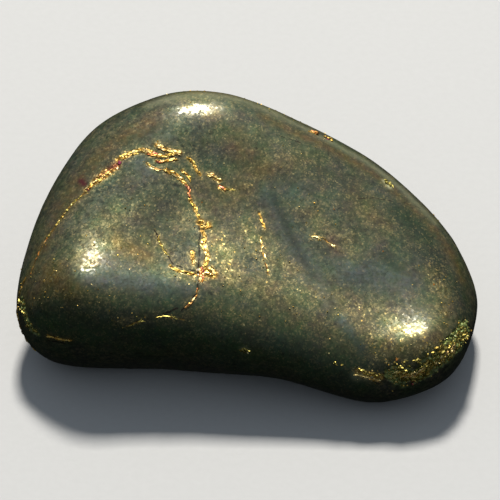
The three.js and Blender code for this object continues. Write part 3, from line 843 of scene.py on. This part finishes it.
def tumbled_ore(colours):
    """Chalcopyrite worn smooth and tarnished: a dull film with single grains of bare metal that flash."""
    material = bpy.data.materials.new("tumbled_chalcopyrite")
    tree = emptied(material)
    place = add(tree, "TexCoord").outputs["Object"]
    mask = {name: add(tree, "Attribute", attribute_name=name).outputs["Fac"] for name in MASKS}
    grains, flecks = (
        add(tree, "TexVoronoi", {"Vector": place, "Scale": per_metre(size)}).outputs["Color"]
        for size in (GRAIN, FLECK)
    )
    patch, cloud, cast = (
        add(
            tree,
            "TexNoise",
            {"Vector": place, "Scale": per_metre(size), "Detail": detail, "Roughness": roughness},
        )
        for size, detail, roughness in (CLUMPS, CLOUDS, CAST)
    )
    grain = add(tree, "SeparateXYZ", {0: grains}).outputs
    fleck = add(tree, "SeparateXYZ", {0: flecks}).outputs
    # Mottled film: grain by grain, in small clumps and in broad clouds.
    blend = sum_of(tree, (grain[0], 0.27), (fleck[0], 0.19), (patch, 0.6), (cloud, 0.4), (mask["gilt"], 0.1))
    blend = add(tree, "Math", {0: blend, 1: BLEND_LEVEL}, operation="SUBTRACT")
    film = add(tree, "ValToRGB", {0: blend})
    set_stops(film, (0.05, colours.shade), (0.45, colours.olive), (0.95, colours.tan))
    # The stains, with the painted shade and painted sheen among them, are broken up by the same clumps, so
    # none reads as a painted stroke.
    layers = []
    broken = sum_of(tree, (patch, 1.0), (grain[1], 0.2))
    for name, share in FILM_AND_LIGHT_SHARES.items():
        inputs = {"Value": broken, "From Min": 0.45, "From Max": 0.75}
        inputs |= {"To Min": 0.5 * share, "To Max": 1.2 * share}
        part = add(tree, "MapRange", inputs)
        part = add(tree, "Math", {0: mask[name], 1: part}, operation="MULTIPLY")
        layers.append(("MIX", part, opaque(getattr(colours, name))))
    layers.append(("OVERLAY", CAST_SHARE, cast.outputs["Color"]))
    # Grains where the film is worn thin, and among them a few of bare metal.
    wear = sum_of(
        tree, (fleck[1], 0.6), (patch, 0.5), (mask["gilt"], 0.26), (cloud, 0.2), (mask["steel"], -0.15)
    )
    worn = add(tree, "MapRange", {"Value": wear, "From Min": 0.8, "From Max": 1.0, "To Max": 0.45})
    bare = add(tree, "MapRange", {"Value": wear, "From Min": 1.07, "From Max": 1.15, "To Max": 0.75})
    ore = {"Factor": fleck[2], "A": opaque(colours.ore_cream), "B": opaque(colours.ore_gold)}
    ore = add(tree, "Mix", ore, data_type="RGBA").outputs["Result"]
    layers += [("MIX", worn, opaque(colours.worn)), ("MIX", bare, ore)]
    # The pale mask paints highlights: rim light along the outline and glints.
    marked = {"vein": "gold", "granular": "rough", "red": "copper", "pale": "pale", "crack": "crack"}
    layers += [("MIX", mask[name], opaque(getattr(colours, tone))) for name, tone in marked.items()]
    hue = film.outputs["Color"]
    for blending, share, tone in layers:
        inputs = {"Factor": share, "A": hue, "B": tone}
        hue = add(tree, "Mix", inputs, data_type="RGBA", blend_type=blending).outputs["Result"]
    metal = add(tree, "Math", {0: bare, 1: mask["vein"]}, operation="MAXIMUM")
    metal = sum_of(tree, (metal, 0.6), (worn, 0.35), (mask["gilt"], 0.3))
    metal = add(tree, "Math", {0: metal, 1: 0.35}, operation="ADD", use_clamp=True)
    rough = sum_of(tree, (patch, 0.2), (mask["crack"], 0.3), (bare, -0.15), (mask["gilt"], -0.08))
    rough = add(tree, "Math", {0: rough, 1: 0.4}, operation="ADD")
    # Each grain leans its own way, and more so on worn, seamed and rough ground.
    lean = add(tree, "VectorMath", {0: grains, 1: (0.5, 0.5, 0.5)}, operation="SUBTRACT")
    more = sum_of(tree, (worn, 0.14), (mask["vein"], 0.4), (mask["granular"], 0.4))
    more = add(tree, "Math", {0: more, 1: 0.07}, operation="ADD")
    lean = add(tree, "VectorMath", {0: lean, "Scale": more}, operation="SCALE")
    level = add(tree, "NewGeometry").outputs["Normal"]
    lean = add(tree, "VectorMath", {0: level, 1: lean}, operation="ADD")
    lean = add(tree, "VectorMath", {0: lean}, operation="NORMALIZE")
    inputs = {"Height": patch, "Strength": 0.2, "Distance": 0.06 * MM, "Normal": lean}
    bump = add(tree, "Bump", inputs)
    # The film is a thin glossy coat, duller where it is golden or brown.
    dull = sum_of(tree, (mask["gilt"], 0.35), (mask["brown"], 0.35))
    gloss = add(tree, "Math", {0: 0.6, 1: dull}, operation="SUBTRACT", use_clamp=True)
    inputs = {"Base Color": hue, "Metallic": metal, "Roughness": rough, "Normal": bump}
    inputs |= {"Specular IOR Level": 0.15, "Coat Weight": gloss, "Coat Roughness": 0.2, "Coat Normal": bump}
    shader = add(tree, "BsdfPrincipled", inputs)
    add(tree, "OutputMaterial", {"Surface": shader})
    return material


def fresh_ore(colours):
    """Untarnished chalcopyrite crystals: flat faces of bare metal, brass to cream, a few filmed pink."""
    material = bpy.data.materials.new("fresh_chalcopyrite")
    tree = emptied(material)
    tint = add(tree, "Attribute", attribute_name="tint").outputs["Fac"]
    ramp = add(tree, "ValToRGB", {0: tint})
    tints = {"brass": BRASS, "gold": GOLD, "cream": CREAM, "orange": ORANGE, "copper": COPPER}
    set_stops(ramp, *((place, getattr(colours, "ore_" + name)) for name, place in tints.items()))
    place = add(tree, "TexCoord").outputs["Object"]
    film = add(tree, "TexNoise", {"Vector": place, "Scale": per_metre(0.4), "Detail": 2.0})
    rough = add(tree, "Math", {0: film, 1: 0.5, 2: 0.25}, operation="MULTIPLY_ADD")
    bump = add(tree, "Bump", {"Height": film, "Strength": 0.3, "Distance": 0.03 * MM})
    inputs = {"Base Color": ramp, "Metallic": 1.0, "Roughness": rough, "Normal": bump}
    add(tree, "OutputMaterial", {"Surface": add(tree, "BsdfPrincipled", inputs)})
    return material


def floor_board(colours):
    """Matt pale card: a faint even tooth and no gloss."""
    material = bpy.data.materials.new("pale_card")
    tree = emptied(material)
    place = add(tree, "TexCoord").outputs["Object"]
    tooth = add(tree, "TexNoise", {"Vector": place, "Scale": per_metre(0.8), "Detail": 3.0})
    darker = tuple(0.94 * part for part in colours.floor)
    inputs = {"Factor": tooth, "A": opaque(darker), "B": opaque(colours.floor)}
    hue = add(tree, "Mix", inputs, data_type="RGBA").outputs["Result"]
    bump = add(tree, "Bump", {"Height": tooth, "Strength": 0.15, "Distance": 0.1 * MM})
    inputs = {"Base Color": hue, "Roughness": 0.95, "Specular IOR Level": 0.1, "Normal": bump}
    add(tree, "OutputMaterial", {"Surface": add(tree, "BsdfPrincipled", inputs)})
    return material


def new_tree(name, given, result):
    """A geometry node tree with named inputs, and the sockets that give them."""
    tree = bpy.data.node_groups.new(name, "GeometryNodeTree")
    for label, kind in given.items():
        tree.interface.new_socket(label, in_out="INPUT", socket_type="NodeSocket" + kind)
    tree.interface.new_socket(result, in_out="OUTPUT", socket_type="NodeSocketGeometry")
    return tree, add(tree, "NodeGroupInput").outputs


def end_tree(tree, shape, material):
    """Ends a geometry node tree with real faces in their material."""
    real = add(tree, "GeometryNodeRealizeInstances", {0: shape})
    done = add(tree, "GeometryNodeSetMaterial", {"Geometry": real, "Material": material})
    add(tree, "NodeGroupOutput", {0: done})
    return tree


def blade_tree(material):
    """Node tree that grows a four-sided blade along each line, as wide as its half width says."""
    tree, given = new_tree("crystal_blades", {"Lines": "Geometry"}, "Blades")
    half, twist = (
        add(tree, "GeometryNodeInputNamedAttribute", {"Name": name}, data_type="FLOAT")
        for name in ("half", "twist")
    )
    curves = add(tree, "GeometryNodeMeshToCurve", {"Mesh": given["Lines"]})
    curves = add(tree, "GeometryNodeSetCurveRadius", {"Curve": curves, "Radius": half})
    curves = add(tree, "GeometryNodeSetCurveTilt", {"Curve": curves, "Tilt": twist})
    section = add(tree, "GeometryNodeCurvePrimitiveCircle", {"Resolution": 4, "Radius": 1.0})
    inputs = {"Curve": curves, "Profile Curve": section, "Scale": half, "Fill Caps": True}
    blades = add(tree, "GeometryNodeCurveToMesh", inputs)
    flat = add(tree, "GeometryNodeSetShadeSmooth", {"Geometry": blades, "Shade Smooth": False})
    return end_tree(tree, flat, material)


# The golden film here also takes in the painted sheen.
GILT_GRAINS = 0.15  # loose grains on golden film, as a share of those on rough ground


def grain_tree(material):
    """Node tree that scatters small grains on rough ground, and stands one on each given point."""
    given = {"Points": "Geometry", "Stone": "Object", "Seed": "Int"}
    given |= {"Density": "Float", "Smallest": "Float", "Largest": "Float"}
    tree, given = new_tree("crystal_grains", given, "Grains")
    seed = given["Seed"]
    vein, rough, gilt, half = (
        add(tree, "GeometryNodeInputNamedAttribute", {"Name": name}, data_type="FLOAT")
        for name in ("vein", "granular", "gilt", "half")
    )
    stone = add(tree, "GeometryNodeObjectInfo", {"Object": given["Stone"]}).outputs["Geometry"]
    room = add(tree, "Math", {0: vein, 1: rough}, operation="MAXIMUM")
    room = sum_of(tree, (room, 1.0), (gilt, GILT_GRAINS))
    density = add(tree, "Math", {0: room, 1: given["Density"]}, operation="MULTIPLY")
    inputs = {"Mesh": stone, "Density": density, "Seed": seed}
    spots = add(tree, "GeometryNodeDistributePointsOnFaces", inputs)
    inputs = {2: given["Smallest"], 3: given["Largest"], "Seed": seed}
    size = add(tree, "FunctionNodeRandomValue", inputs, data_type="FLOAT").outputs[1]
    tint = add(tree, "FunctionNodeRandomValue", {2: BRASS, 3: CREAM}, data_type="FLOAT").outputs[1]
    for name, value in (("half", size), ("tint", tint)):
        inputs = {"Geometry": spots, "Name": name, "Value": value}
        spots = add(tree, "GeometryNodeStoreNamedAttribute", inputs, data_type="FLOAT", domain="POINT")
    single = add(tree, "GeometryNodeMeshToPoints", {"Mesh": given["Points"]})
    spots = add(tree, "GeometryNodeJoinGeometry", {0: spots})
    tree.links.new(single.outputs[0], spots.inputs[0])
    inputs = {0: (0, 0, 0), 1: (math.tau, math.tau, math.tau), "Seed": seed}
    turn = add(tree, "FunctionNodeRandomValue", inputs, data_type="FLOAT_VECTOR")
    inputs = {"Vertices": 4, "Radius Top": 0.5, "Radius Bottom": 1.0, "Depth": 1.2}
    grain = add(tree, "GeometryNodeMeshCone", inputs)
    inputs = {"Points": spots, "Instance": grain, "Rotation": turn, "Scale": half}
    return end_tree(tree, add(tree, "GeometryNodeInstanceOnPoints", inputs), material)


def set_input(modifier, name, value):
    """Sets a node modifier's input by its socket's identifier."""
    for item in modifier.node_group.interface.items_tree:
        if item.name == name and item.in_out == "INPUT":
            modifier[item.identifier] = value


# -------------------- operators


def linked(name, mesh):
    """A new object of a mesh, in the scene."""
    made = bpy.data.objects.new(name, mesh)
    bpy.context.scene.collection.objects.link(made)
    return made


def grown(name, seeds, tree, inputs):
    """The finished mesh that a node tree grows from a mesh of lines or points."""
    holder = linked(name, seeds)
    modifier = holder.modifiers.new(name, "NODES")
    modifier.node_group = tree
    for key, value in inputs.items():
        set_input(modifier, key, value)
    bpy.context.view_layer.update()
    mesh = bpy.data.meshes.new_from_object(holder.evaluated_get(bpy.context.evaluated_depsgraph_get()))
    bpy.data.objects.remove(holder)
    points = np.array([v.co for v in mesh.vertices])
    points[:, 2] = np.maximum(points[:, 2], 0)
    mesh.vertices.foreach_set("co", points.ravel())
    mesh.name = name
    return mesh


def dressed(mesh):
    """Puts a finished piece of the stone's dress in the scene."""
    piece = linked(mesh.name, mesh)
    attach(piece, BODY)
    return piece


class NUGGET_OT_stone(Operator):
    """Builds the stone's skin with its seams, cracks, pits and rough ground"""

    bl_idname = "nugget.stone"
    bl_label = "Build the stone"

    def execute(self, context):
        scene = context.scene
        noise.seed_set(scene.nugget.seed)  # the marks' drift is drawn from it
        base = Skin()
        mesh = stone_mesh(scene.nugget, Marks(base), base)
        mesh.materials.append(tumbled_ore(scene.ore))
        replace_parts(dressed(mesh), NODE)
        return {"FINISHED"}


class NUGGET_OT_crystals(Operator):
    """Grows blades of fresh ore along the seams, and stands grains on the rough ground"""

    bl_idname = "nugget.crystals"
    bl_label = "Grow the crystals"

    def execute(self, context):
        settings = context.scene.nugget
        stone = bpy.data.objects.get("nugget_stone")
        if stone is None:
            raise RuntimeError("build the stone before its crystals")
        marks = Marks(Skin())
        ore = fresh_ore(context.scene.ore)
        lines = blade_lines(settings, marks, stone.data)
        dressed(grown("seam_blades", lines, blade_tree(ore), {}))
        inputs = {
            "Stone": stone,
            "Density": settings.bead_density / MM**2,
            "Smallest": settings.bead_least,
            "Largest": settings.bead_most,
            "Seed": settings.seed,
        }
        dressed(grown("seam_grains", bead_points(marks, stone.data), grain_tree(ore), inputs))
        return {"FINISHED"}


class NUGGET_OT_stage(Operator):
    """Sets the floor, the key lamp, the soft sky and the camera"""

    bl_idname = "nugget.stage"
    bl_label = "Set the stage"

    def execute(self, context):
        scene = context.scene
        floor = floor_of(scene.ore)
        set_lamp(scene.studio, Vector(AIM * MM))
        set_sky(scene, scene.studio.sky, scene.studio.sky_tone)
        lens = bpy.data.cameras.new("camera")
        lens.sensor_fit = "HORIZONTAL"
        lens.angle = FIELD_OF_VIEW
        lens.clip_start = CAMERA_NEAR
        camera = linked("camera", lens)
        camera.location = Vector(view_axes()[3] * MM)
        camera.rotation_euler = (math.pi / 2 - ELEVATION, 0, 0)
        scene.camera = camera
        scene.view_settings.view_transform = "Standard"
        return {"FINISHED"}


def floor_of(colours):
    """A wide pale floor that takes the shadow, and neither lights the stone nor shows in it."""
    mesh = bpy.data.meshes.new("floor")
    corners = [(x * FLOOR_SIDE, y * FLOOR_SIDE, 0) for x, y in ((-1, -1), (1, -1), (1, 1), (-1, 1))]
    mesh.from_pydata(corners, [], [(0, 1, 2, 3)])
    mesh.materials.append(floor_board(colours))
    floor = linked("floor", mesh)
    floor.visible_glossy = False
    floor.visible_diffuse = False
    return floor


def set_lamp(studio, aim):
    """One small lamp behind the stone, turned to it."""
    lamp = bpy.data.lights.new("key", "AREA")
    lamp.energy = studio.lamp_power
    lamp.size = studio.lamp_size
    lamp.color = studio.lamp_tone
    key = linked("key", lamp)
    rise = studio.lamp_elevation
    key.location = aim + studio.lamp_distance * Vector((0, math.cos(rise), math.sin(rise)))
    key.rotation_euler = (aim - key.location).to_track_quat("-Z", "Y").to_euler()


UNDER_SHARE, LEVEL_SHARE = 0.03, 0.45  # of the sky's tone, under the horizon and just over it


def set_sky(scene, strength, tone):
    """Soft light from above, weaker toward the horizon and near dark under it."""
    scene.world = bpy.data.worlds.new("studio")
    tree = emptied(scene.world)
    way = add(tree, "TexCoord").outputs["Generated"]
    height = add(tree, "SeparateXYZ", {0: way}).outputs[2]
    ramp = add(tree, "ValToRGB", {0: height})
    under, level = ([share * part for part in tone] for share in (UNDER_SHARE, LEVEL_SHARE))
    set_stops(ramp, (0.0, under), (0.03, level), (0.8, tone))
    back = add(tree, "Background", {"Color": ramp, "Strength": strength})
    add(tree, "OutputWorld", {"Surface": back})


class NUGGET_PT_panel(Panel):
    """Lists the buttons that build the stone and set its stage, and its settings"""

    bl_idname = "NUGGET_PT_panel"
    bl_label = "Chalcopyrite nugget"
    bl_space_type = "VIEW_3D"
    bl_region_type = "UI"
    bl_category = "Nugget"

    def draw(self, context):
        for kind in OPERATORS:
            self.layout.operator(kind.bl_idname)
        for group in (context.scene.nugget, context.scene.ore, context.scene.studio):
            for name in group.bl_rna.properties.keys():
                if name not in ("name", "rna_type"):
                    self.layout.prop(group, name)


OPERATORS = (NUGGET_OT_stone, NUGGET_OT_crystals, NUGGET_OT_stage)
GROUPS = {"nugget": NuggetSettings, "ore": OreColours, "studio": StudioSettings}


def register():
    for kind in (*GROUPS.values(), *OPERATORS, NUGGET_PT_panel):
        bpy.utils.register_class(kind)
    for name, kind in GROUPS.items():
        setattr(bpy.types.Scene, name, PointerProperty(type=kind))


def unregister():
    for name in GROUPS:
        delattr(bpy.types.Scene, name)
    for kind in reversed((*GROUPS.values(), *OPERATORS, NUGGET_PT_panel)):
        bpy.utils.unregister_class(kind)


def main():
    register()
    bpy.ops.nugget.stone()
    bpy.ops.nugget.crystals()
    bpy.ops.nugget.stage()


if __name__ == "__main__":
    main()
